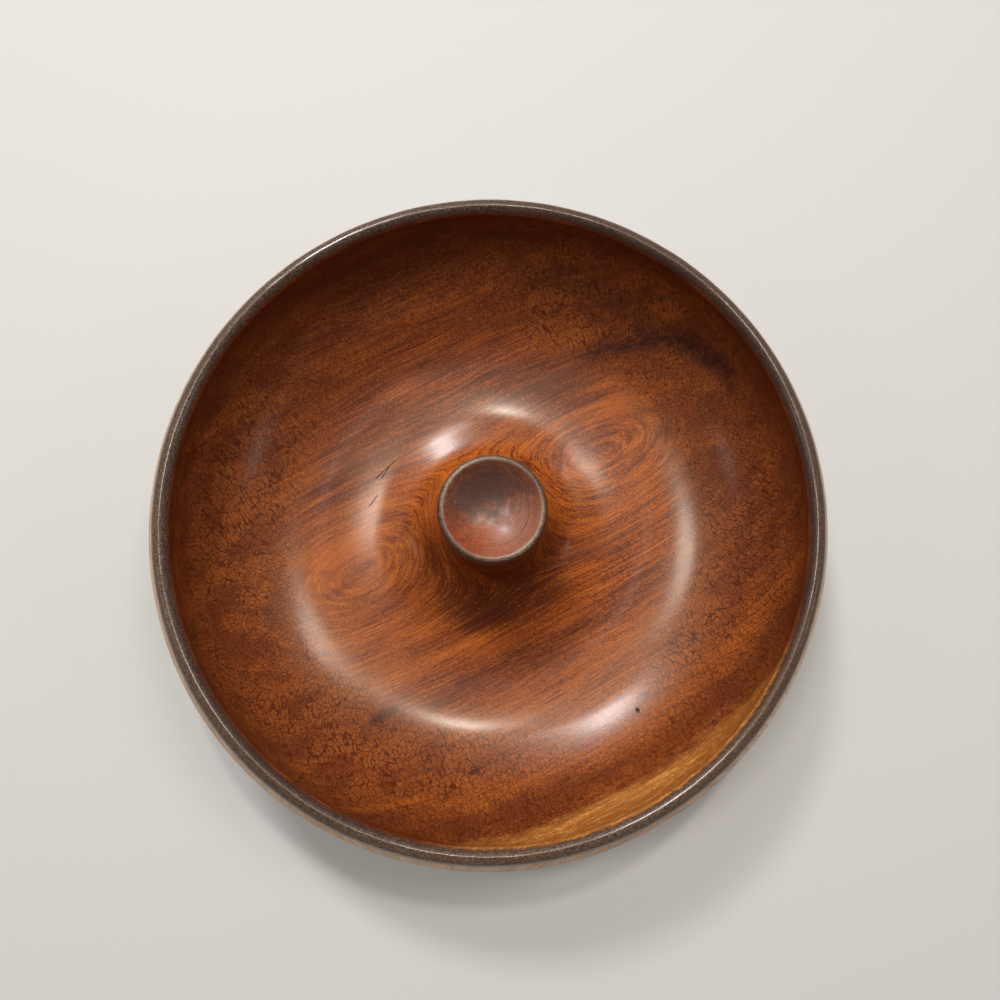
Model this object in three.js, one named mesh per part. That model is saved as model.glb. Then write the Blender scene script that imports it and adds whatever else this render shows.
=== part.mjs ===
// A turned hardwood nut bowl: a wide bowl whose floor is a ring-shaped trough round a central
// pedestal, and a dished anvil head, glued into the pedestal by its spigot, on which a nut is cracked.
// Millimetres, +Z up. The origin is the middle of the foot, on the table.

import * as THREE from 'three';

// The bowl: overall sizes
const bowlDiameter = 300;      // across the belly, the widest part
const rimHeight = 76;          // table to the crest of the rim
const wallThickness = 12;      // at the belly
const bellyDrop = 20;          // crest of the rim down to the widest part outside
const wallDrop = 12;           // crest of the rim down to the widest part inside

// The rim: a rounded bead with a crest line nearer to its inner side
const rimSetback = 10.4;       // the crest lies this far inside the belly
const rimInnerWidth = 3;
const rimInnerDrop = 3.7;
const rimOuterWidth = 4.1;
const rimOuterDrop = 3;

// The trough, which holds the nuts
const troughRadius = 68;       // axis to its lowest line
const troughHeight = 17;       // table to its lowest line

// The foot: a ring, with a shallow recess inside it
const footDiameter = 124;
const footHeight = 7;
const footRingWidth = 12;
const footCoveRadius = 3;
const footChamfer = 1;
const recessDepth = 3;

// The pedestal and its socket
const neckDiameter = 41;       // at the seat, under the head
const flareReach = 38;         // how far the flare's floor handle runs in from the trough
const flareDrop = 39;          // how far its neck handle runs down from the seat
const socketClearance = 0.3;   // round the spigot
const socketEndGap = 1;        // under the spigot, for spare glue

// The anvil head
const headDiameter = 47.2;     // across its lip
const headHeight = 11;         // seat to the rim of the dish
const headRise = 4;            // crest of the bowl's rim up to the rim of the dish
const lipWidth = 2.5;          // dish rim out to the lip
const lipDrop = 6.3;           // dish rim down to the lip's lower edge
const dishDepth = 8.5;
const spigotDiameter = 18;
const spigotLength = 20;
const spigotChamfer = 1.5;

// How finely the turned surfaces are stepped
const bowlTurnSteps = 64;
const headTurnSteps = 48;
const sweepSteps = 10;         // along a long sweep of a profile
const edgeSteps = 3;           // along a small round
const dishSteps = 8;           // along the dish, rim to middle

// Worked-out places
const bellyRadius = bowlDiameter / 2;
const wallRadius = bellyRadius - wallThickness;
const crestRadius = bellyRadius - rimSetback;
const footRadius = footDiameter / 2;
const neckRadius = neckDiameter / 2;
const lipRadius = headDiameter / 2;
const dishRadius = lipRadius - lipWidth;
const headTop = rimHeight + headRise;
const seatHeight = headTop - headHeight;
const spigotRadius = spigotDiameter / 2;
const socketRadius = spigotRadius + socketClearance;
const socketFloor = seatHeight - spigotLength - socketEndGap;

const roundness = 0.552;       // handle length that makes a cubic curve a quarter of a circle or ellipse

function at(radius, height) {
  return new THREE.Vector2(radius, height);
}

// A stretch of a profile: a cubic curve from one point to another, pulled towards its two handles.
// The start is left out, because the stretch before it ends there.
function curve(start, startHandle, endHandle, end, steps) {
  return new THREE.CubicBezierCurve(start, startHandle, endHandle, end).getPoints(steps).slice(1);
}

// A quarter of an ellipse between two points. It leaves the start towards the corner and comes into
// the end from the corner.
function quarter(start, corner, end, steps) {
  const startHandle = start.clone().lerp(corner, roundness);
  const endHandle = end.clone().lerp(corner, roundness);
  return curve(start, startHandle, endHandle, end, steps);
}

// Turns a profile of radius and height round the vertical axis.
function turned(name, profile, steps, material) {
  const mesh = new THREE.Mesh(new THREE.LatheGeometry(profile, steps), material);
  mesh.name = name;
  mesh.rotation.x = Math.PI / 2;
  return mesh;
}

// The bowl's profile runs from the middle of the foot's recess out over the foot, up the outside,
// over the rim, down the inside, up the pedestal and down into its socket.
function bowlProfile() {
  const recessRadius = footRadius - footRingWidth;
  const coveTop = at(footRadius + footCoveRadius, footHeight);
  const coveFoot = at(footRadius, footHeight - footCoveRadius);
  const belly = at(bellyRadius, rimHeight - bellyDrop);
  const rimOuter = at(crestRadius + rimOuterWidth, rimHeight - rimOuterDrop);
  const crest = at(crestRadius, rimHeight);
  const rimInner = at(crestRadius - rimInnerWidth, rimHeight - rimInnerDrop);
  const wall = at(wallRadius, rimHeight - wallDrop);
  const trough = at(troughRadius, troughHeight);
  const neck = at(neckRadius, seatHeight);

  return [
    at(0, recessDepth),
    at(recessRadius - recessDepth, recessDepth),
    at(recessRadius, 0),
    at(footRadius - footChamfer, 0),
    at(footRadius, footChamfer),
    coveFoot,
    ...quarter(coveFoot, at(coveFoot.x, coveTop.y), coveTop, edgeSteps),
    ...quarter(coveTop, at(belly.x, coveTop.y), belly, sweepSteps),
    ...quarter(belly, at(belly.x, (belly.y + crest.y) / 2), rimOuter, edgeSteps),
    ...quarter(rimOuter, at(rimOuter.x, crest.y), crest, edgeSteps),
    ...quarter(crest, at(rimInner.x, crest.y), rimInner, edgeSteps),
    ...quarter(rimInner, at(wall.x, (rimInner.y + wall.y) / 2), wall, edgeSteps),
    ...quarter(wall, at(wall.x, trough.y), trough, sweepSteps),
    ...curve(trough, at(trough.x - flareReach, trough.y), at(neck.x, neck.y - flareDrop), neck, sweepSteps),
    at(socketRadius, seatHeight),
    at(socketRadius, socketFloor),
    at(0, socketFloor),
  ];
}

// The head's profile runs up from the spigot's end, out along the seat, round the lip and down the
// dish. The dish is part of a ball: its radius follows from the dish's width and depth.
function headProfile() {
  const ballRadius = (dishRadius ** 2 + dishDepth ** 2) / (2 * dishDepth);
  const ballHeight = headTop - dishDepth + ballRadius;
  const dishAngle = Math.asin(dishRadius / ballRadius);
  const dish = [];
  for (let step = 1; step <= dishSteps; step += 1) {
    const angle = dishAngle * (1 - step / dishSteps);
    dish.push(at(ballRadius * Math.sin(angle), ballHeight - ballRadius * Math.cos(angle)));
  }

  const spigotEnd = seatHeight - spigotLength;
  const seatEdge = at(neckRadius, seatHeight);
  const lip = at(lipRadius, headTop - lipDrop);
  const dishRim = at(dishRadius, headTop);
  return [
    at(0, spigotEnd),
    at(spigotRadius - spigotChamfer, spigotEnd),
    at(spigotRadius, spigotEnd + spigotChamfer),
    at(spigotRadius, seatHeight),
    seatEdge,
    ...quarter(seatEdge, at(seatEdge.x, lip.y), lip, edgeSteps),
    ...quarter(lip, at(lip.x, dishRim.y), dishRim, edgeSteps),
    ...dish,
  ];
}

const polishedHardwood = new THREE.MeshStandardMaterial({ color: 0x7a3416, roughness: 0.32, metalness: 0 });
const darkenedHardwood = new THREE.MeshStandardMaterial({ color: 0x4a322a, roughness: 0.4, metalness: 0 });

const nutBowl = new THREE.Group();
nutBowl.add(turned('bowl', bowlProfile(), bowlTurnSteps, polishedHardwood));
nutBowl.add(turned('anvil_head', headProfile(), headTurnSteps, darkenedHardwood));

export default nutBowl;
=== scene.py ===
# A turned nut bowl of red-brown hardwood: a ring-shaped trough round a pedestal, whose dished head
# holds a nut while it is cracked. All lengths are in metres in the bowl's own frame: +Z up the turning
# axis, the foot on z = 0, +X to the right and +Y towards the top of the picture.
import math

import bpy
import numpy as np
from mathutils import Matrix, Vector


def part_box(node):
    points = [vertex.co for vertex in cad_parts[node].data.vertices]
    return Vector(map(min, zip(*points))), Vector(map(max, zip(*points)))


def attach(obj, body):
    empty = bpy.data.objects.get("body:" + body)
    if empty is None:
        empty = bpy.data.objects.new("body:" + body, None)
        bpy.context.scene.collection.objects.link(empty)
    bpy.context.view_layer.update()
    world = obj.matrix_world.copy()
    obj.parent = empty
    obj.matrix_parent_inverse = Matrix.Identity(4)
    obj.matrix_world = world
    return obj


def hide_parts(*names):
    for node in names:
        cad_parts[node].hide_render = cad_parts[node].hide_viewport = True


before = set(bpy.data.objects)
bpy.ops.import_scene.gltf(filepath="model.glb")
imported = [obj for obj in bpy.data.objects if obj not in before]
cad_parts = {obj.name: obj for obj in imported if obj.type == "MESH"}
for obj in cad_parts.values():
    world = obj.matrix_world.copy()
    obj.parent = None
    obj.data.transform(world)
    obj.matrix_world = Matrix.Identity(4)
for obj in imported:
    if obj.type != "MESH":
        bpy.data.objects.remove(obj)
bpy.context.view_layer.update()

bowl_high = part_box("bowl")[1]
head_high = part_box("anvil_head")[1]

MM = 0.001

# Driving sizes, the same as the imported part's.
belly_radius = bowl_high.x
rim_height = bowl_high.z
wall_thickness = 12 * MM
belly_drop = 20 * MM
wall_drop = 12 * MM
rim_setback = 10.4 * MM
rim_inner_width = 3 * MM
rim_inner_drop = 3.7 * MM
rim_outer_width = 4.1 * MM
rim_outer_drop = 3 * MM
trough_radius = 68 * MM
trough_height = 17 * MM
foot_radius = 62 * MM
foot_height = 7 * MM
foot_ring_width = 12 * MM
foot_cove_radius = 3 * MM
foot_chamfer = 1 * MM
recess_depth = 3 * MM
neck_radius = 20.5 * MM
flare_reach = 38 * MM
flare_drop = 39 * MM
socket_clearance = 0.3 * MM
socket_end_gap = 1 * MM
head_radius = head_high.x
head_top = head_high.z
head_height = 11 * MM
lip_width = 2.5 * MM
lip_drop = 6.3 * MM
dish_depth = 8.5 * MM
spigot_radius = 9 * MM
spigot_length = 20 * MM
spigot_chamfer = 1.5 * MM

seat_height = head_top - head_height
crest_radius = belly_radius - rim_setback
wall_radius = belly_radius - wall_thickness
arc_handle = 0.552
bowl_turns = 320

# Small shapes that only show close up: the rim's facet, wear, shallow rings in the dish, the trough's
# crease, the flare's swell, the joint's bevel, the shrinkage across the grain and a worm hole.
facet_start = 0.5 * MM
facet_rise = 1.9 * MM
rim_wear = 0.10 * MM
side_wear = 0.06 * MM
lip_wear = 0.10 * MM
groove_depth = 0.006 * MM
crease_radius = 106 * MM
crease_width = 7 * MM
crease_rise = 0.88 * MM
crease_fade = 12 * MM
swell_radius = 47.5 * MM
swell_width = 7 * MM
swell_height = 0.5 * MM
joint_bevel = 0.25 * MM
shrinkage = 0.0065
grain_bearing = math.radians(27.3)
pit_radius = 112.3 * MM
pit_bearing = math.radians(308)
pit_width = 0.9 * MM
pit_depth = 1.0 * MM


def make_camera():
    """The camera looks down into the bowl, a little from the front, as it does in the picture."""
    place = Vector((-4.6, -46.4, 394)) * MM
    target = Vector((3.2, 4.0, 76)) * MM
    forward = (target - place).normalized()
    right = forward.cross(Vector((0, 1, 0))).normalized()
    up = right.cross(forward)
    data = bpy.data.cameras.new("camera")
    data.lens = 27.36
    data.sensor_width = 36
    data.clip_start = 0.01
    camera = bpy.data.objects.new("camera", data)
    camera.matrix_world = Matrix.Translation(place) @ Matrix((right, up, -forward)).transposed().to_4x4()
    bpy.context.scene.collection.objects.link(camera)
    bpy.context.scene.camera = camera


def make_lamp(name, bearing, elevation, width, height, power, colour, distance=2.0):
    """A soft oval lamp at a bearing and an elevation round the bowl, turned towards it."""
    aim = Vector((0, 0, 0.04))
    turn, tilt = math.radians(bearing), math.radians(elevation)
    way = Vector((math.cos(turn) * math.cos(tilt), math.sin(turn) * math.cos(tilt), math.sin(tilt)))
    data = bpy.data.lights.new(name, "AREA")
    data.shape = "ELLIPSE"
    data.size = width
    data.size_y = height
    data.energy = power
    data.color = colour
    lamp = bpy.data.objects.new(name, data)
    lamp.location = aim + way * distance
    lamp.rotation_euler = way.to_track_quat("Z", "Y").to_euler()
    bpy.context.scene.collection.objects.link(lamp)


def make_light():
    """A dim room, darker still in reflections, and eight small lamps above, beside and behind the bowl.

    Each lamp has a name, a bearing and an elevation in degrees, a width and a height in metres, a power
    and a colour.
    """
    world = bpy.data.worlds.new("room")
    bpy.context.scene.world = world
    world.use_nodes = True
    room = Nodes(world.node_tree)
    height = room.split(room.node("ShaderNodeTexCoord", {}, {}))[2]
    level = room.node("ShaderNodeMapRange", {}, {
        "Value": height, "From Max": 0.9, "To Min": 0.34, "To Max": 0.12})
    seen = room.node("ShaderNodeLightPath", {}, {}, output="Is Camera Ray")
    mirrored = room.node("ShaderNodeLightPath", {}, {}, output="Is Glossy Ray")
    level = level * (1 - mirrored * 0.75)
    background = world.node_tree.nodes["Background"]
    background.inputs["Color"].default_value = (1.0, 0.98, 0.95, 1)
    room.feed(background.inputs["Strength"], level * (1 - seen) + seen * 0.75)
    cool, warm = (0.98, 0.98, 1.0), (1.0, 0.93, 0.82)
    make_lamp("lamp_back", 115, 48.5, 0.32, 0.27, 16, cool)
    make_lamp("lamp_beside", 105, 53, 0.30, 0.10, 2.5, cool)
    make_lamp("lamp_left", 152, 68.5, 0.34, 0.46, 12.5, warm)
    make_lamp("lamp_top", 83, 64.5, 0.10, 0.15, 9.5, warm)
    make_lamp("lamp_right", 45, 61, 0.24, 0.64, 10.5, warm)
    make_lamp("lamp_over", 50, 83.5, 0.12, 0.08, 0.5, warm)
    make_lamp("lamp_near_left", 186, 40, 0.36, 0.30, 0.9, cool)
    make_lamp("lamp_near_right", 352, 40, 0.36, 0.30, 0.9, cool)


def make_floor():
    """A plain pale table, wide enough to fill the picture."""
    reach = 1.6
    corners = [(-reach, -reach, 0), (reach, -reach, 0), (reach, reach, 0), (-reach, reach, 0)]
    mesh = bpy.data.meshes.new("floor")
    mesh.from_pydata(corners, [], [(0, 1, 2, 3)])
    floor = bpy.data.objects.new("floor", mesh)
    bpy.context.scene.collection.objects.link(floor)
    material = bpy.data.materials.new("pale_floor")
    material.use_nodes = True
    shader = material.node_tree.nodes["Principled BSDF"]
    shader.inputs["Base Color"].default_value = (0.56, 0.565, 0.565, 1)
    shader.inputs["Roughness"].default_value = 0.7
    mesh.materials.append(material)


def cubic(start, first, second, end, steps):
    """Points of a cubic curve from start to end, pulled towards the handles first and second."""
    t = np.linspace(0, 1, steps + 1)[:, None]
    start, first, second, end = (np.array(p, float) for p in (start, first, second, end))
    return ((1 - t) ** 3 * start + 3 * (1 - t) ** 2 * t * first
            + 3 * (1 - t) * t ** 2 * second + t ** 3 * end)


def quarter(start, corner, end, steps):
    """Points of a quarter of an ellipse from start to end, rounding the corner."""
    start, corner, end = (np.array(p, float) for p in (start, corner, end))
    return cubic(start, start + (corner - start) * arc_handle, end + (corner - end) * arc_handle, end, steps)


def straight(start, end, steps):
    """Points of a straight line, closer together towards both ends, as half a cosine wave spaces them."""
    t = (1 - np.cos(np.linspace(0, np.pi, steps + 1)))[:, None] / 2
    return np.array(start, float) * (1 - t) + np.array(end, float) * t


def joined(*runs):
    """One profile from runs that meet end to end, with each shared point kept once."""
    return np.vstack([runs[0]] + [run[1:] for run in runs[1:]])


def turned(name, profile, bearing, relief=None):
    """A solid of revolution: the point at profile place s and bearing t is (r cos t, r sin t, z).

    The profile runs from the axis at the bottom, up the outside and back to the axis. The relief moves
    each point outwards and upwards by small amounts of its own.
    """
    turns = len(bearing)
    radius, height = profile[1:-1, 0][:, None], profile[1:-1, 1][:, None]
    radius, height = np.broadcast_arrays(radius + 0 * bearing, height + 0 * bearing)
    if relief:
        out, up = relief(radius, height, bearing)
        radius, height = radius + out, height + up
    rings = np.stack([radius * np.cos(bearing), radius * np.sin(bearing), height], -1)
    points = np.vstack([rings.reshape(-1, 3), [[0, 0, profile[0, 1]], [0, 0, profile[-1, 1]]]])
    rows = len(profile) - 2
    row, step = np.arange(rows - 1)[:, None] * turns, np.arange(turns)
    after = (step + 1) % turns
    quads = np.stack([row + step, row + after, row + turns + after, row + turns + step], -1).reshape(-1, 4)
    first, last = rows * turns, rows * turns + 1
    end = (rows - 1) * turns
    fans = np.vstack([np.stack([np.full(turns, first), after, step], -1),
                      np.stack([end + step, end + after, np.full(turns, last)], -1)])
    mesh = bpy.data.meshes.new(name)
    mesh.from_pydata(points.tolist(), [], quads.tolist() + fans.tolist())
    mesh.polygons.foreach_set("use_smooth", np.ones(len(mesh.polygons), bool))
    piece = bpy.data.objects.new(name, mesh)
    bpy.context.scene.collection.objects.link(piece)
    return piece


def bell(distance, width):
    """1 at distance 0, falling away on both sides along a Gauss curve, to 0.37 at the width."""
    return np.exp(-(distance / width) ** 2)


def waves(angle, lowest, highest, seed):
    """Uneven waviness round a circle: cosines of every count of waves, each with a random size and start."""
    chance = np.random.default_rng(seed)
    count = np.arange(lowest, highest + 1).reshape(-1, *[1] * np.ndim(angle))
    share = chance.normal(size=count.shape) / np.sqrt(len(count))
    return (share * np.cos(count * angle + chance.uniform(0, 2 * np.pi, count.shape))).sum(0)


def finer(run, radius, reach, spacing):
    """The same run with extra points, evenly spaced in radius, near one radius."""
    extra = np.arange(radius - reach, radius + reach, spacing)
    order = np.argsort(run[:, 0])
    heights = np.interp(extra, run[order, 0], run[order, 1])
    every = np.vstack([run[order], np.stack([extra, heights], -1)])
    every = every[np.argsort(every[:, 0])]
    return every[::-1] if run[0, 0] > run[-1, 0] else every


def bowl_profile():
    """The bowl's outline from the foot's recess, up the belly, over the rim and into the socket.

    The rim is round outside and a nearly flat facet inside. Each stretch ends with its number of steps.
    """
    ring = foot_radius - foot_ring_width
    belly_height = rim_height - belly_drop
    bead = crest_radius + rim_outer_width
    bead_height = rim_height - rim_outer_drop
    crest = (crest_radius, rim_height)
    inner = (crest_radius - rim_inner_width, rim_height - rim_inner_drop)
    wall_top = rim_height - wall_drop
    socket = spigot_radius + socket_clearance
    socket_floor = seat_height - spigot_length - socket_end_gap
    wall = quarter((wall_radius, wall_top), (wall_radius, trough_height), (trough_radius, trough_height), 64)
    crease = (1 + np.tanh((wall[:, 0] - crease_radius) / crease_width)) / 2
    wall[:, 1] += crease_rise * crease * np.clip((wall_radius - wall[:, 0]) / crease_fade, 0, 1)
    wall = finer(wall, pit_radius, 2.4 * pit_width, pit_width / 4)
    flare = cubic((trough_radius, trough_height), (trough_radius - flare_reach, trough_height),
                  (neck_radius, seat_height - flare_drop), (neck_radius, seat_height - joint_bevel), 44)
    flare[:, 1] += swell_height * bell(flare[:, 0] - swell_radius, swell_width)
    return joined(
        straight((0, recess_depth), (ring - recess_depth, recess_depth), 12),
        straight((ring - recess_depth, recess_depth), (ring, 0), 5),
        straight((ring, 0), (foot_radius - foot_chamfer, 0), 8),
        straight((foot_radius - foot_chamfer, 0), (foot_radius, foot_chamfer), 4),
        straight((foot_radius, foot_chamfer), (foot_radius, foot_height - foot_cove_radius), 5),
        quarter((foot_radius, foot_height - foot_cove_radius), (foot_radius, foot_height),
                (foot_radius + foot_cove_radius, foot_height), 6),
        quarter((foot_radius + foot_cove_radius, foot_height), (belly_radius, foot_height),
                (belly_radius, belly_height), 44),
        quarter((belly_radius, belly_height), (belly_radius, (belly_height + rim_height) / 2),
                (bead, bead_height), 14),
        quarter((bead, bead_height), (bead, rim_height), crest, 28),
        cubic(crest, (crest_radius - facet_start, rim_height), (inner[0], inner[1] + facet_rise), inner, 14),
        quarter(inner, (wall_radius, (inner[1] + wall_top) / 2), (wall_radius, wall_top), 10),
        wall,
        flare,
        straight((neck_radius, seat_height - joint_bevel), (neck_radius - joint_bevel, seat_height), 2),
        straight((neck_radius - joint_bevel, seat_height), (socket, seat_height), 6),
        straight((socket, seat_height), (socket, socket_floor), 6),
        straight((socket, socket_floor), (0, socket_floor), 3),
    )


def bowl_relief(radius, height, bearing):
    """Shrinkage across the grain, wear round the rim and one worm hole.

    The radius shrinks with the square of the sine of the angle from the grain. Waves take a little off the
    rim's side and crest, and the hole is a bell's depth at one place of the wall.
    """
    across = np.sin(bearing - grain_bearing) ** 2
    out = -shrinkage * radius * across
    rim = np.clip((height - rim_height + 9 * MM) / (6 * MM), 0, 1) * (radius > wall_radius - 3 * MM)
    wear = rim_wear * (waves(bearing, 3, 40, 4) - 0.5)
    side = side_wear * waves(bearing, 20, 90, 5)
    out = out + rim * np.minimum(side, 0)
    up = rim * np.minimum(wear, 0)
    away_along = radius - pit_radius
    away_round = (bearing - pit_bearing) * pit_radius
    pit = bell(np.hypot(away_along, away_round), pit_width / 2) * (height > 20 * MM)
    return out, up - pit_depth * pit


def head_profile():
    """The head's outline from the spigot's end, out under the lip, round it and down into the dish."""
    end = seat_height - spigot_length
    lip = (head_radius, head_top - lip_drop)
    dish_radius = head_radius - lip_width
    ball = (dish_radius ** 2 + dish_depth ** 2) / (2 * dish_depth)
    across = np.linspace(dish_radius, 0, 41)
    dish = np.stack([across, head_top - dish_depth + ball - np.sqrt(ball ** 2 - across ** 2)], -1)
    return joined(
        straight((0, end), (spigot_radius - spigot_chamfer, end), 4),
        straight((spigot_radius - spigot_chamfer, end), (spigot_radius, end + spigot_chamfer), 3),
        straight((spigot_radius, end + spigot_chamfer), (spigot_radius, seat_height), 8),
        straight((spigot_radius, seat_height), (neck_radius - joint_bevel, seat_height), 8),
        straight((neck_radius - joint_bevel, seat_height), (neck_radius, seat_height + joint_bevel), 2),
        quarter((neck_radius, seat_height + joint_bevel), (neck_radius, lip[1]), lip, 12),
        quarter(lip, (head_radius, head_top), (dish_radius, head_top), 20),
        dish,
    )


def head_relief(radius, height, bearing):
    """Bruises round the lip, as waves round it, and in the dish shallow rings, as waves along its radius."""
    lip = np.clip((height - head_top + 5 * MM) / (3 * MM), 0, 1) * (radius > head_radius - 4 * MM)
    out = lip * lip_wear * np.minimum(waves(bearing, 4, 30, 6), 0)
    up = lip * lip_wear * np.minimum(waves(bearing, 5, 44, 7), 0)
    dish = (radius < head_radius - lip_width) & (height > head_top - dish_depth - 1 * MM)
    grooves = waves(radius / head_radius * 2 * np.pi, 7, 17, 8)
    return out, up + dish * groove_depth * np.minimum(grooves, 0)


class Wire:
    """One socket of a node: signs of arithmetic between wires and numbers add the nodes that do the sum."""

    def __init__(self, nodes, socket):
        self.nodes = nodes
        self.socket = socket

    def __add__(self, other):
        return self.nodes.math("ADD", self, other)

    def __sub__(self, other):
        return self.nodes.math("SUBTRACT", self, other)

    def __rsub__(self, other):
        return self.nodes.math("SUBTRACT", other, self)

    def __mul__(self, other):
        return self.nodes.math("MULTIPLY", self, other)

    def __truediv__(self, other):
        return self.nodes.math("DIVIDE", self, other)

    def __pow__(self, other):
        return self.nodes.math("POWER", self, other)

    __radd__ = __add__
    __rmul__ = __mul__

    def root(self):
        return self.nodes.math("SQRT", self)

    def size(self):
        return self.nodes.math("ABSOLUTE", self)

    def most(self, other):
        return self.nodes.math("MAXIMUM", self, other)

    def rise(self, low, high):
        """0 at low, 1 at high and a smooth slope between them; low may be the greater of the two."""
        return self.nodes.node("ShaderNodeMapRange", {"interpolation_type": "SMOOTHSTEP"},
                               {"Value": self, "From Min": low, "From Max": high})

    def bump(self, centre, width):
        """1 at the centre, falling smoothly to 0 at width on either side of it."""
        return (self - centre).size().rise(width, 0)


class Nodes:
    """The nodes of one material or of the world, added one at a time."""

    def __init__(self, tree):
        self.tree = tree

    def node(self, kind, settings, sockets, output=0):
        """Adds a node: its settings first, then the value or the link of each socket named or numbered."""
        node = self.tree.nodes.new(kind)
        for key, value in settings.items():
            if key == "stops":
                while len(node.color_ramp.elements) < len(value):
                    node.color_ramp.elements.new(0.5)
                for element, (place, colour) in zip(node.color_ramp.elements, value):
                    element.position = place
                    element.color = (*colour, 1)
            else:
                setattr(node, key, value)
        for key, value in sockets.items():
            self.feed(node.inputs[key], value)
        return Wire(self, node.outputs[output])

    def feed(self, socket, value):
        if isinstance(value, Wire):
            self.tree.links.new(value.socket, socket)
        elif socket.type == "RGBA":
            socket.default_value = (*value, 1)
        else:
            socket.default_value = value

    def math(self, operation, *values):
        return self.node("ShaderNodeMath", {"operation": operation}, dict(enumerate(values)))

    def split(self, vector):
        return [self.node("ShaderNodeSeparateXYZ", {}, {"Vector": vector}, output=k) for k in range(3)]


class Finish(Nodes):
    """A material on a Principled shader."""

    def __init__(self, name, **constants):
        self.material = bpy.data.materials.new(name)
        self.material.use_nodes = True
        super().__init__(self.material.node_tree)
        self.shader = self.tree.nodes["Principled BSDF"]
        for socket, value in constants.items():
            self.shader.inputs[socket.replace("_", " ")].default_value = value

    def noise(self, place, grain, detail=2, roughness=0.5):
        """Soft random tone between 0 and 1, with lumps about grain wide."""
        return self.node("ShaderNodeTexNoise", {},
                         {"Vector": place, "Scale": 1 / grain, "Detail": detail, "Roughness": roughness})

    def stretch(self, place, amounts):
        return self.node("ShaderNodeVectorMath", {"operation": "MULTIPLY"}, {0: place, 1: amounts})

    def shift(self, place, amounts):
        return self.node("ShaderNodeVectorMath", {"operation": "ADD"}, {0: place, 1: amounts})

    def vector(self, x, y, z):
        return self.node("ShaderNodeCombineXYZ", {}, {"X": x, "Y": y, "Z": z})

    def ramp(self, tone, stops):
        return self.node("ShaderNodeValToRGB", {"stops": stops}, {"Fac": tone})

    def blend(self, share, first, second):
        return self.node("ShaderNodeMix", {"data_type": "RGBA"}, {0: share, 6: first, 7: second}, output=2)

    def object_place(self, location=(0, 0, 0), rotation=(0, 0, 0)):
        """Object coordinates in millimetres, turned and then moved."""
        place = self.node("ShaderNodeTexCoord", {}, {}, output=3)
        return self.node("ShaderNodeMapping", {"vector_type": "POINT"}, {
            "Vector": place, "Location": location, "Rotation": rotation, "Scale": (1000, 1000, 1000)})

    def roughen(self, strength, height):
        """Small bumps on the surface, where a height of 1 would stand 0.4 mm up at full strength."""
        bump = self.node("ShaderNodeBump", {}, {
            "Strength": strength, "Distance": 0.4 * MM, "Height": height})
        self.feed(self.shader.inputs["Normal"], bump)


# Linear colours of the wood, its stains and its handled edges, and of painted shade, glints and sheen.
deep_wood = (0.075, 0.014, 0.005)
red_wood = (0.180, 0.039, 0.011)
brown_wood = (0.280, 0.067, 0.012)
light_wood = (0.450, 0.132, 0.021)
orange_wood = (0.470, 0.115, 0.012)
grey_wood = (0.200, 0.090, 0.050)
mineral_stain = (0.038, 0.011, 0.009)
net_line = (0.066, 0.013, 0.005)
net_ground = (0.255, 0.074, 0.018)
red_shade = (0.090, 0.018, 0.008)
sapwood = (0.690, 0.325, 0.080)
sap_streak = (0.340, 0.115, 0.025)
# Pale outer wood, lightened as painted bounce light from the table.
pale_outer_wood_and_bounce = (0.660, 0.440, 0.280)
outer_grain = (0.400, 0.220, 0.120)
handled_edge = (0.032, 0.017, 0.015)
# Dark scratches and the worm hole's painted shade; next, the hole's painted glint.
dark_scratch_and_pit_shade = (0.030, 0.018, 0.014)
painted_pit_glint = (0.340, 0.310, 0.260)
# Worn wood, also painted sheen on the rim.
worn_and_sheen_edge = (0.210, 0.150, 0.118)
# Dirty wood in the dish, also used as painted shade there.
dish_dirt_and_shade = (0.062, 0.032, 0.028)
# Bare wood on the lip's arris, also a painted highlight there.
bare_and_lit_edge = (0.500, 0.375, 0.280)
red_glow = (0.330, 0.058, 0.018)
# Painted sheen in the dish.
pale_sheen = (0.450, 0.220, 0.150)

# How the bowl was cut from the tree, in millimetres: the pith lay beside the axis and just below the
# table, each ring's centre has crept by ring_lean of its radius, and sapwood starts at ring sap_ring.
# A turn round the pith counts as it does on the ring of radius way_round.
pith_across = 5.5
pith_height = -9
ring_lean = 0.12
sap_ring = 169
way_round = 60


def ring_distance(across, above):
    """Distance from the pith out to the growth ring through a point.

    A ring of distance d is a circle of radius d whose centre has crept ring_lean times d across the grain.
    """
    left = 1 - ring_lean ** 2
    return ((across * across * ring_lean ** 2 + (across * across + above * above) * left).root()
            - across * ring_lean) / left


class Spot:
    """Where a point of the surface lies: x, y, z and its distance from the turning axis, in millimetres.

    The tone above_trough is 0 on the bowl's underside, and 1 from the trough's lowest line upwards.
    """

    def __init__(self, finish):
        self.place = finish.object_place()
        self.x, self.y, self.z = finish.split(self.place)
        self.radius = (self.x * self.x + self.y * self.y).root()
        self.above_trough = self.z.rise(trough_height / MM - 2, trough_height / MM)

    def towards(self, bearing):
        """Cosine of the angle between the point's bearing and the one given."""
        angle = math.radians(bearing)
        return (self.x * math.cos(angle) + self.y * math.sin(angle)) / self.radius


class Stem:
    """Where a point lay in the tree: along, across and above the pith, its growth ring and its way round.

    The fibre is soft noise drawn out along the pith.
    """

    def __init__(self, finish, location, rotation):
        self.lie = finish.object_place(location=location, rotation=rotation)
        self.along, self.across, self.above = finish.split(self.lie)
        self.around = finish.math("ARCTAN2", self.above, self.across) * way_round
        ring = ring_distance(self.across, self.above)
        wander = finish.noise(finish.stretch(self.lie, (0.3, 1, 1)), 34)
        self.ring = ring + (wander - 0.5) * 13 * ring.rise(24, 70)
        self.place = finish.vector(self.ring, self.around, self.along)
        self.fibre = finish.noise(finish.stretch(self.lie, (0.36, 1, 1)), 0.55, 3, 0.75)


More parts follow.
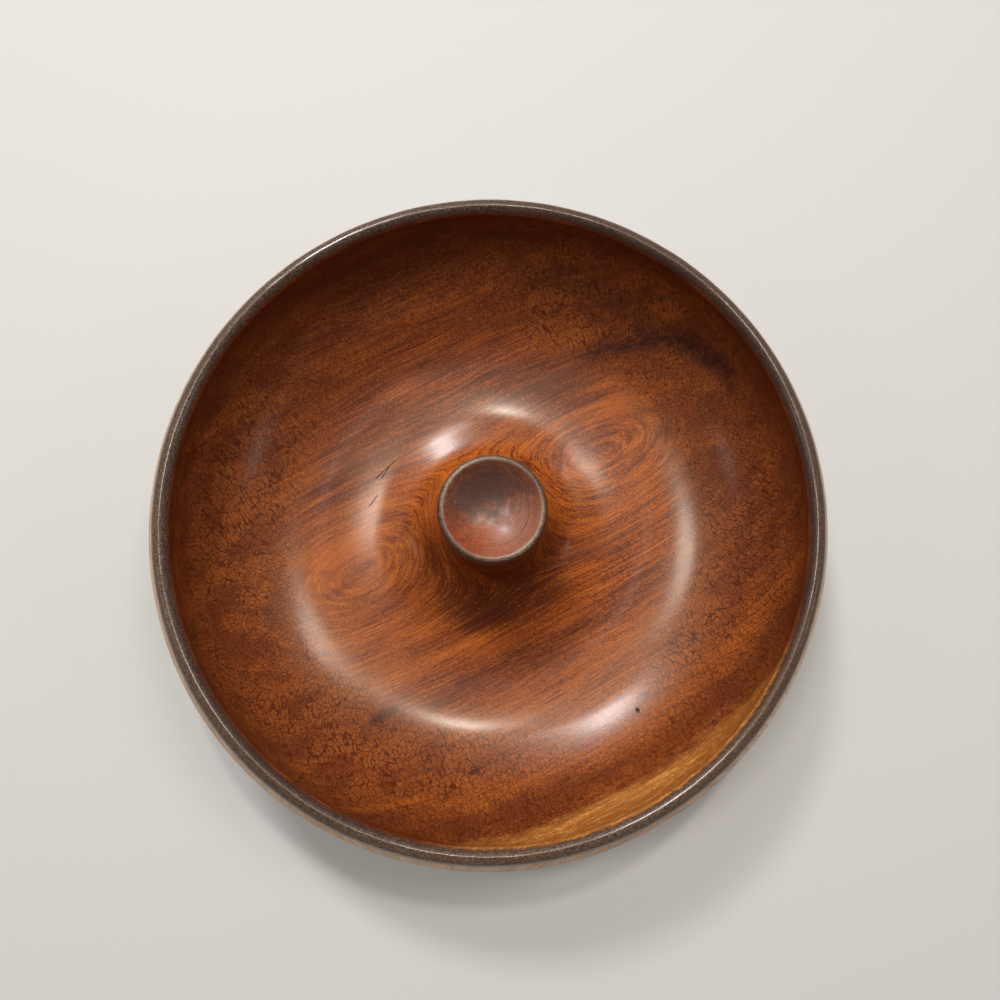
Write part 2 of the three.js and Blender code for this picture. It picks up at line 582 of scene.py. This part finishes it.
def wood_tone(finish, stem, darker):
    """How light the wood is: broad, narrow and fine rings round the pith, fibres along it, and mottling."""
    broad = finish.noise(finish.stretch(stem.place, (1, 0.12, 0.035)), 12, 3, 0.6)
    bands = finish.noise(finish.stretch(stem.place, (1, 0.08, 0.03)), 2.1, 2, 0.6)
    fine = finish.noise(finish.stretch(stem.place, (1, 0.035, 0.02)), 0.45, 1, 0.6)
    mottle = finish.noise(finish.stretch(stem.lie, (0.5, 1, 1)), 22, 3, 0.6)
    tone = (broad - 0.5) * 0.65 + (bands - 0.5) * 0.60 + (fine - 0.5) + (stem.fibre - 0.5) * 1.55
    return tone + (mottle - 0.5) * 0.4 + 0.56 - darker


def wood_colour(finish, stem, tone):
    """The wood's colour from its tone, with greyer and more orange stretches and dark vessels."""
    colour = finish.ramp(tone, ((0.10, deep_wood), (0.34, red_wood), (0.56, brown_wood), (0.95, light_wood)))
    hue = finish.noise(finish.stretch(stem.lie, (0.35, 1, 1)), 31, 2, 0.6)
    colour = finish.blend(hue.rise(0.56, 0.78) * 0.25, colour, grey_wood)
    colour = finish.blend(hue.rise(0.48, 0.24) * 0.5, colour, orange_wood)
    vessels = finish.noise(finish.stretch(stem.lie, (0.20, 1, 1)), 1.0, 1, 0.5)
    return finish.blend(vessels.rise(0.60, 0.70) * 0.35, colour, deep_wood)


def bowl_darkening(spot, stem, wall):
    """How much darker than the plain wood the bowl is at each place: partly painted shade, most on its wall
    and far side.
    """
    # Painted shade: the far wall, which faces away from the lamps, and the wall just under the rim. The
    # other terms darken or lighten the wood by bearing and radius.
    wall_tone_and_shade = (0.10 + 0.13 * spot.towards(95).rise(-0.7, 0.8) + 0.12 * spot.radius.rise(128, 136)
              + 0.17 * spot.towards(-2).rise(0.5, 0.95) + 0.09 * spot.towards(245).rise(0.4, 0.9)
              - 0.06 * spot.towards(303).rise(0.6, 0.95))
    far = spot.towards(105).rise(0.0, 0.9) * spot.radius.bump(80, 36)
    flanks = stem.across.size().rise(16, 46) * spot.radius.rise(112, 92) * spot.radius.rise(30, 45)
    trough, flare = spot.radius.bump(74, 34), spot.radius.bump(36, 16)
    return wall * wall_tone_and_shade + 0.20 * far + 0.10 * trough + 0.08 * flanks + 0.12 * flare


def net_of_lines(finish, stem):
    """Thin dark lines between leaf-shaped cells, bent and stretched by soft noise."""
    push = finish.node("ShaderNodeTexNoise", {}, {"Vector": stem.place, "Scale": 1 / 9, "Detail": 1},
                       output=1)
    bent = finish.shift(finish.stretch(stem.place, (0.40, 1.0, 1)), finish.stretch(push, (6.5, 6.5, 6.5)))
    edges = {"feature": "DISTANCE_TO_EDGE"}
    cells = finish.node("ShaderNodeTexVoronoi", edges, {"Vector": bent, "Scale": 0.47})
    gaps = finish.noise(stem.place, 4, 1).rise(0.32, 0.48)
    return cells.rise(0.10, 0.022) * (0.55 + 0.45 * gaps)


def netted_wall(finish, spot, stem, wall, patches, lines, speck, colour):
    """The wall: its net of lines, strongest where it cuts across the grain, red shade, specks and fibres."""
    ends = spot.towards(20).rise(0.0, 0.7).most(spot.towards(215).rise(0.0, 0.6))
    netted = spot.radius.rise(86, 106) * spot.z.rise(80, 66) * (0.36 + 0.64 * ends)
    netted = netted * (0.55 + 0.45 * patches.rise(0.30, 0.50))
    shade = finish.noise(finish.stretch(stem.lie, (0.40, 1, 1)), 12, 3, 0.6)
    shaded = wall * (0.58 - 0.30 * spot.towards(305).rise(0.5, 0.95))
    colour = finish.blend(netted * 0.45, colour, net_ground)
    colour = finish.blend(shade.rise(0.45, 0.60) * shaded, colour, red_shade)
    colour = finish.blend(lines * netted, colour, net_line)
    colour = finish.blend(speck.rise(0.50, 0.66) * wall * (1 - 0.6 * ends) * 0.60, colour, net_line)
    colour = finish.blend(stem.fibre.rise(0.52, 0.36) * wall * 0.38, colour, net_line)
    return finish.blend(stem.fibre.rise(0.52, 0.68) * wall * 0.22, colour, light_wood)


def sapwood_edge(finish, stem, tone, lines, speck, colour):
    """Golden sapwood at the outer edge of the log, with a dark and then an orange band inside it."""
    ragged = finish.noise(finish.stretch(stem.lie, (0.3, 1, 1)), 5, 3)
    edge = stem.ring + stem.along * stem.along * 0.0018 + (ragged - 0.5) * 9
    colour = finish.blend(edge.bump(158, 10) * 0.55, colour, deep_wood)
    colour = finish.blend(edge.bump(144, 9) * tone.rise(0.10, 0.60) * 0.34, colour, orange_wood)
    streaks = finish.noise(finish.stretch(stem.lie, (0.05, 1, 0.6)), 1.0, 3, 0.7)
    golden = finish.blend((streaks + (tone - 0.5) * 0.35).rise(0.64, 0.38) * 0.95, sapwood, sap_streak)
    golden = finish.blend(lines * 0.45 + speck.rise(0.52, 0.66) * 0.40, golden, sap_streak)
    return finish.blend(edge.rise(sap_ring - 4, sap_ring + 3), colour, golden)


def mineral_streaks(finish, stem, colour):
    """Dark streaks along the grain: long soft blots, each with its middle, half length and half width."""
    streaks = (stem.ring.bump(55, 9) * stem.around.rise(12, 30) * stem.around.rise(104, 84)
               * stem.along.rise(66, 92))
    for middle, half_length, side, half_width, strength in (
            (-20, 22, -40, 4, 0.7), (-86, 9, -57, 3, 0.9), (-52, 22, -62, 3.5, 0.4), (-2, 24, -27, 5, 0.5)):
        lengthways = (stem.along - middle) / half_length
        sideways = (stem.across + pith_across - side) / half_width
        streaks = streaks.most((lengthways ** 2 + sideways ** 2).rise(1.2, 0.1) * strength)
    ragged = 0.50 + 0.50 * finish.noise(finish.stretch(stem.lie, (0.14, 1, 1)), 3, 4, 0.7).rise(0.35, 0.62)
    return finish.blend(streaks * ragged, colour, mineral_stain)


def round_pedestal(finish, spot, tone, colour):
    """Strong orange round the pedestal, partly painted bounce light, and a painted shadow on its near side.
    """
    # The orange is partly painted bounce light from the wood round the pedestal and partly wood that fingers
    # seldom reach.
    kept_and_bounce = spot.radius.rise(50, 30) * tone.rise(0.30, 0.62)
    kept_and_bounce = kept_and_bounce * (1 - 0.6 * spot.towards(195).rise(0.3, 0.95))
    colour = finish.blend(kept_and_bounce * 0.75, colour, orange_wood)
    # Painted shadow of the head on the pedestal's near side, below and beside it.
    below = (((spot.x - 2) / 38) ** 2 + ((spot.y + 34) / 19) ** 2).rise(1.2, 0.2)
    beside = spot.radius.rise(44, 30) * spot.towards(272).rise(-0.35, 0.55)
    painted_shadow = below.most(beside) * tone.rise(1.05, 0.45)
    return finish.blend(painted_shadow * 0.88, colour, deep_wood)


def scratches(spot, patches):
    """Three short scratches on the left of the pedestal, each from a start to an end in x and y."""
    scratched = 0
    for start_x, start_y, end_x, end_y in (
            (-58.5, 23.5, -47, 34), (-61, 9, -56.5, 16), (-55.5, 23.5, -50.5, 30.5)):
        length = math.hypot(end_x - start_x, end_y - start_y)
        way_x, way_y = (end_x - start_x) / length, (end_y - start_y) / length
        ahead = (spot.x - start_x) * way_x + (spot.y - start_y) * way_y
        aside = (spot.y - start_y) * way_x - (spot.x - start_x) * way_y + (patches - 0.5) * 1.5
        taper = ahead.rise(0, 1.5) * ahead.rise(length, length - 1.5)
        scratched = scratched + aside.size().rise(0.36, 0.14) * taper
    return scratched


def worm_hole(finish, spot, colour):
    """The worm hole: painted shade round its edge and a painted glint in its middle."""
    pit_x = pit_radius / MM * math.cos(pit_bearing)
    pit_y = pit_radius / MM * math.sin(pit_bearing)
    away = ((spot.x - pit_x) ** 2 + (spot.y - pit_y) ** 2).root()
    # Painted shade just inside the hole's edge, and a painted glint at its middle.
    colour = finish.blend(away.rise(0.85, 0.60) * spot.above_trough, colour, dark_scratch_and_pit_shade)
    return finish.blend(away.rise(0.30, 0.10) * spot.above_trough, colour, painted_pit_glint)


def rim_colour(finish, spot, rubbed):
    """The rim: dark from handling, lighter in rubbed speckles on its crest, and painted sheen at two
    bearings.
    """
    # Painted sheen: lighter towards bearings 145 and 280, where the lamps are reflected in the rim.
    wear_and_sheen = 0.16 + 0.36 * spot.towards(145).rise(-0.1, 0.9) + 0.24 * spot.z.rise(74.6, 75.8)
    wear_and_sheen = wear_and_sheen + 0.36 * spot.towards(280).rise(0.6, 1)
    return finish.blend(rubbed.rise(0.40, 0.70) * wear_and_sheen, handled_edge, worn_and_sheen_edge)


def hardwood_finish():
    """The bowl: polished wood, darker and shinier at the handled rim, lighter and duller outside, with
    painted light and shade in places.
    """
    finish = Finish("polished_hardwood", Coat_Roughness=0.18, Coat_IOR=1.5, Specular_IOR_Level=0.28,
                    Specular_Tint=(1.0, 0.86, 0.68, 1))
    spot = Spot(finish)
    stem = Stem(finish, (0, -pith_across, -pith_height), (0, 0, -grain_bearing))
    wall = spot.radius.rise(84, 122) * spot.radius.rise(142, 139) * spot.above_trough
    tone = wood_tone(finish, stem, bowl_darkening(spot, stem, wall))
    colour = wood_colour(finish, stem, tone)
    # Painted warm light: the floor towards the right is made more orange, more so where the wood is lighter.
    painted_warm_light = spot.towards(15).rise(-0.2, 0.8) * spot.radius.bump(74, 40)
    colour = finish.blend(painted_warm_light * tone.rise(0.30, 0.80) * 0.65, colour, orange_wood)

    patches = finish.noise(stem.lie, 11, 2)
    lines = net_of_lines(finish, stem)
    speck = finish.noise(finish.stretch(stem.lie, (0.7, 1, 1)), 1.2, 2, 0.6)
    colour = netted_wall(finish, spot, stem, wall, patches, lines, speck, colour)
    colour = sapwood_edge(finish, stem, tone, lines, speck, colour)
    colour = mineral_streaks(finish, stem, colour)
    colour = round_pedestal(finish, spot, tone, colour)
    scratched = scratches(spot, patches)
    colour = finish.blend(scratched * 0.95, colour, dark_scratch_and_pit_shade)
    colour = worm_hole(finish, spot, colour)

    # The outside is everything beyond an oval that runs midway inside the wall and the floor. It is
    # palest just under the rim: pale wood there, lightened further as painted light for the glow of the
    # bright table on the strip seen past the rim.
    outside = (((spot.radius - 66) / 78) ** 2 + ((60 - spot.z) / 48) ** 2).rise(0.93, 1.07)
    grained = finish.blend(tone.rise(0.75, 0.35), pale_outer_wood_and_bounce, outer_grain)
    colour = finish.blend(outside * (0.25 + 0.65 * spot.z.rise(57, 69)), colour, grained)
    smudge = finish.noise(spot.place, 4.5, 4, 0.7)
    rim = ((spot.radius - 137) * 0.6 + (spot.z - 73) * 0.5 + (smudge - 0.5) * 2).rise(-0.6, 0.7)
    rim = spot.z.rise(71.6, 73.0) * rim
    rubbed = finish.noise(spot.place, 0.9, 4, 0.75)
    colour = finish.blend(rim * 0.93, colour, rim_colour(finish, spot, rubbed))
    finish.feed(finish.shader.inputs["Base Color"], colour)

    bare = outside * (1 - rim)
    rough = 0.26 + 0.10 * finish.noise(spot.place, 9, 4, 0.7) + 0.04 * rim + 0.16 * bare + 0.3 * scratched
    coat = (0.29 + 0.30 * rim) * (1 - 0.8 * bare) * (1 - scratched)
    finish.feed(finish.shader.inputs["Roughness"], rough)
    finish.feed(finish.shader.inputs["Coat Weight"], coat)
    rays = finish.noise(finish.stretch(stem.lie, (2.2, 0.35, 0.35)), 1.1, 2, 0.6)
    finish.roughen(0.2, rays * 0.6 + stem.fibre * 0.5 + rubbed * rim * 4)
    return finish.material


def dish_colour(finish, spot, colour, turned_lines, smudge, speckle, dirt_and_shade):
    """The head's wood, mottled, ringed and reddened, with a painted sheen, and dirty with painted shade in
    its dish.
    """
    mottle = finish.noise(spot.place, 3.2, 3, 0.7)
    reddened = spot.towards(238).rise(0.2, 0.95) * spot.radius.rise(3, 9) * speckle.rise(0.40, 0.60)
    # Painted sheen: a pale pink patch on the dish's near right side, where the lamps are reflected.
    painted_sheen = spot.towards(318).rise(0.2, 1.0) * spot.radius.rise(5, 14)
    painted_sheen = painted_sheen * (0.18 + 0.20 * turned_lines.rise(0.60, 0.42))
    colour = finish.blend(speckle.rise(0.44, 0.60) * 0.45, colour, deep_wood)
    colour = finish.blend(0.25, colour, grey_wood)
    colour = finish.blend(mottle.rise(0.44, 0.62) * 0.45, colour, deep_wood)
    colour = finish.blend(turned_lines.rise(0.50, 0.60) * smudge.rise(0.38, 0.62) * 0.60, colour, deep_wood)
    colour = finish.blend(reddened * 0.75, colour, red_glow)
    colour = finish.blend(dirt_and_shade * 0.86, colour, dish_dirt_and_shade)
    return finish.blend(painted_sheen, colour, pale_sheen)


def lip_colour(finish, spot, colour):
    """The lip: dark from handling on its side, bare along its upper arris, with a painted highlight on it.
    """
    rubbed = finish.noise(spot.place, 1.0, 4, 0.75)
    side = spot.z.rise(77.6, 75.8) + (spot.radius - 20.9).rise(-0.4, 0.5)
    edge_colour = finish.blend(rubbed.rise(0.42, 0.75) * 0.5, handled_edge, worn_and_sheen_edge)
    colour = finish.blend(side.rise(0, 1) * 0.92 * spot.radius.rise(19, 20.4), colour, edge_colour)
    worn_wide = finish.noise(spot.place, 3, 2)
    arris = (spot.radius - 21.5 + (worn_wide - 0.5) * 1.4).size().rise(1.7, 0.3) * spot.z.rise(78.0, 79.0)
    # Painted highlight: the arris is lit most at bearings 128 and 308, in line with the lamps.
    lit = 0.20 + 0.40 * (spot.towards(128) ** 2)
    return finish.blend(arris * lit * (0.50 + 0.50 * rubbed.rise(0.38, 0.64)), colour, bare_and_lit_edge)


def head_finish():
    """The head: the same wood, turned another way, greyed by use and rubbed light round its edge, with a
    painted highlight there.
    """
    finish = Finish("darkened_hardwood", Coat_Roughness=0.24, Coat_IOR=1.5, Specular_IOR_Level=0.40)
    spot = Spot(finish)
    stem = Stem(finish, (0, -21, 40), (0.15, 0.1, -grain_bearing))
    colour = wood_colour(finish, stem, wood_tone(finish, stem, 0.14))
    turned_lines = finish.noise(finish.vector(spot.radius, spot.z, 0), 0.8, 2, 0.6)
    smudge = finish.noise(spot.place, 6, 4, 0.7)
    speckle = finish.noise(spot.place, 1.5, 3, 0.7)
    # Darker towards the top and left of the dish: mottled and dirty, and painted shade on the half that
    # faces away from the lamps.
    dirt_and_shade = spot.y * 0.045 - spot.x * 0.016 + 0.07 + (smudge - 0.5) * 1.3 + (speckle - 0.5) * 0.8
    dirt_and_shade = dirt_and_shade.rise(-0.35, 0.45) * spot.radius.rise(26, 12)
    colour = dish_colour(finish, spot, colour, turned_lines, smudge, speckle, dirt_and_shade)
    finish.feed(finish.shader.inputs["Base Color"], lip_colour(finish, spot, colour))
    finish.feed(finish.shader.inputs["Roughness"], 0.36 + 0.16 * smudge)
    finish.feed(finish.shader.inputs["Coat Weight"], 0.26 - 0.12 * dirt_and_shade)
    finish.roughen(0.22, turned_lines * 0.25 + finish.noise(spot.place, 0.9, 3, 0.7) * 0.8)
    return finish.material


make_camera()
make_light()
make_floor()
turns = np.linspace(0, 2 * np.pi, bowl_turns, endpoint=False)
near_pit = pit_bearing + np.linspace(-1, 1, 17) * 2 * pit_width / pit_radius
bowl = turned("turned_bowl", bowl_profile(), np.unique(np.append(turns, near_pit)), bowl_relief)
head = turned("dished_head", head_profile(), turns[::2], head_relief)
for piece, node, slot, material in ((bowl, "bowl", "polished_hardwood", hardwood_finish()),
                                    (head, "anvil_head", "darkened_hardwood", head_finish())):
    piece.data.materials.append(material)
    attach(piece, "root")
    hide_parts(node)

bpy.context.scene.view_settings.view_transform = "Standard"
